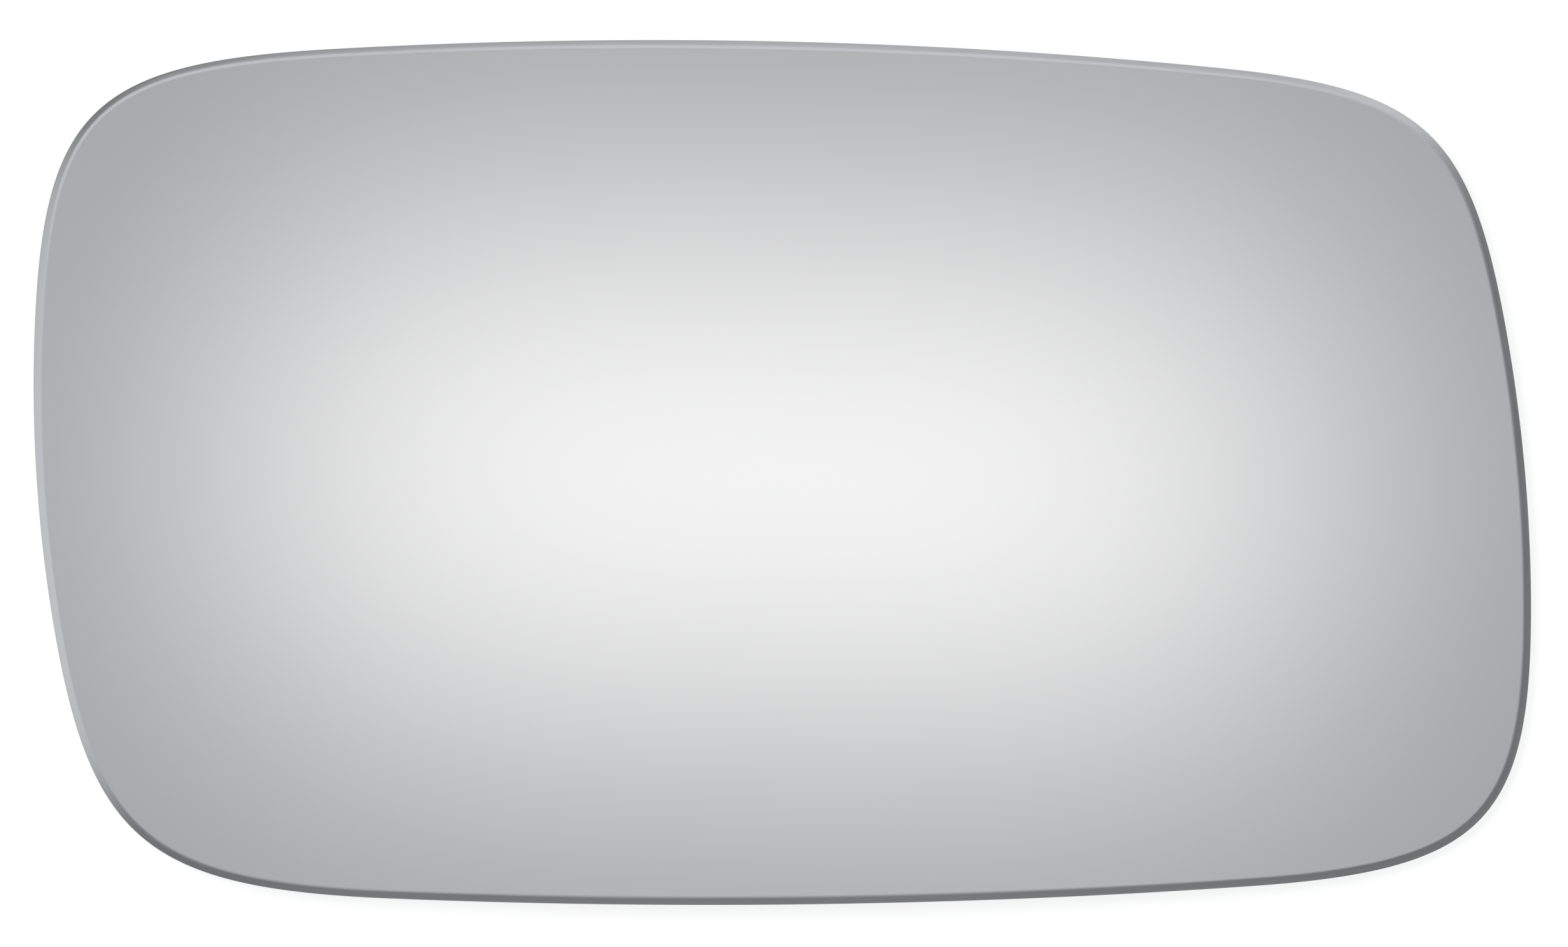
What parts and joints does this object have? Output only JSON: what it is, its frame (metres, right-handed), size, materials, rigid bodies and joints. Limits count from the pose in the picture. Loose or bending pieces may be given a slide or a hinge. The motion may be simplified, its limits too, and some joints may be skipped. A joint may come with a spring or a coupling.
{
  "type": "car door mirror glass",
  "caption": "Thin domed mirror glass for a car's door mirror: crowned sides, eased corners, a ground bevel round the face and a slightly hollow back for bonding.",
  "frame": {"origin": "middle of the outline, at the level of the surface that the glass lies on, on its back", "axes": "+Z out of the mirror face, +X along the longer side, to the right as one faces the mirror, +Y to the upper edge"},
  "size_m": [0.178, 0.1026, 0.0051],
  "materials": {
    "silvered_glass": "polished mirror face, finely ground edge, painted back"
  },
  "bodies": {
    "root": {"mirror_glass": "silvered_glass"}
  },
  "joints": []
}
